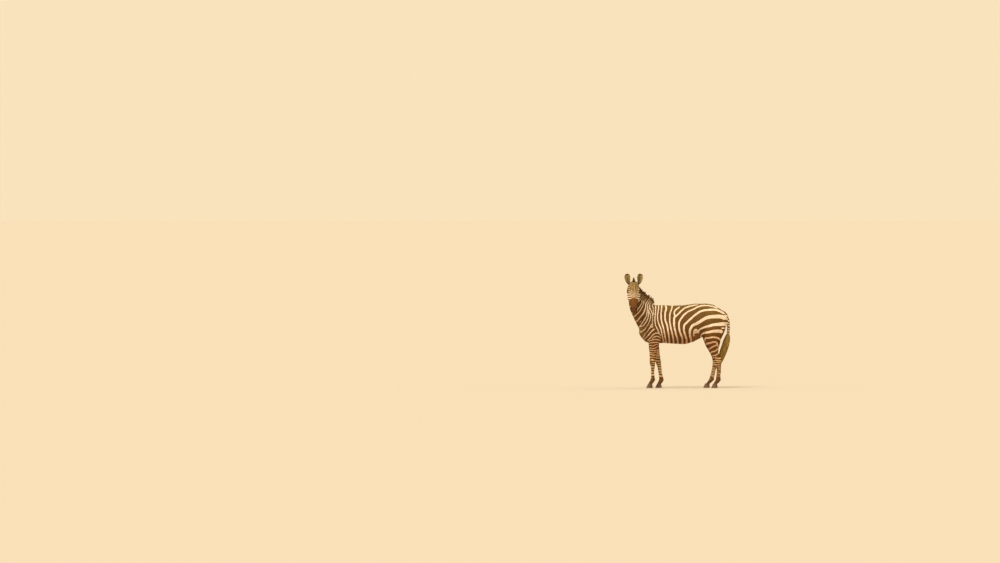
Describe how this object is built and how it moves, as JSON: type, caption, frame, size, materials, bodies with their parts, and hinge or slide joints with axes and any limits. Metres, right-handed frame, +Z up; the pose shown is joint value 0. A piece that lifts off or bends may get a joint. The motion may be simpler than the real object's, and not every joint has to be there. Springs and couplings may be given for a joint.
{
  "type": "grant's zebra",
  "caption": "Life-size striped plains zebra standing on its hooves with its head turned to its left, a still display model.",
  "frame": {"origin": "on the floor under the middle of the whole model's box", "axes": "+Z up, the zebra's body faces -Y, its left side is +X and its head is turned to +X"},
  "size_m": [0.827, 1.6492, 1.7803],
  "materials": {
    "coat": "short flat-lying hair, cream with dark brown stripes",
    "muzzle": "dark brown skin with very short velvety hair",
    "ear": "short hair, dark banded outside, paler and longer inside",
    "mane": "stiff upright hair, cream and dark brown with brown tips",
    "tail_hair": "long coarse dark brown hair",
    "hoof": "dark horn, dusty, with fine growth rings",
    "eye": "wet, very dark brown"
  },
  "bodies": {
    "root": {"barrel": "coat", "ear_left": "ear", "ear_right": "ear", "eye_left": "eye", "eye_right": "eye", "foreleg_left_lower": "coat", "foreleg_left_upper": "coat", "foreleg_right_lower": "coat", "foreleg_right_upper": "coat", "forelock": "mane", "forequarters": "coat", "head": "coat", "hindleg_left_lower": "coat", "hindleg_left_upper": "coat", "hindleg_right_lower": "coat", "hindleg_right_upper": "coat", "hindquarters": "coat", "hoof_fore_left": "hoof", "hoof_fore_right": "hoof", "hoof_hind_left": "hoof", "hoof_hind_right": "hoof", "mane": "mane", "muzzle": "muzzle", "neck": "coat", "tail": "coat", "tail_tuft": "tail_hair"}
  },
  "joints": []
}
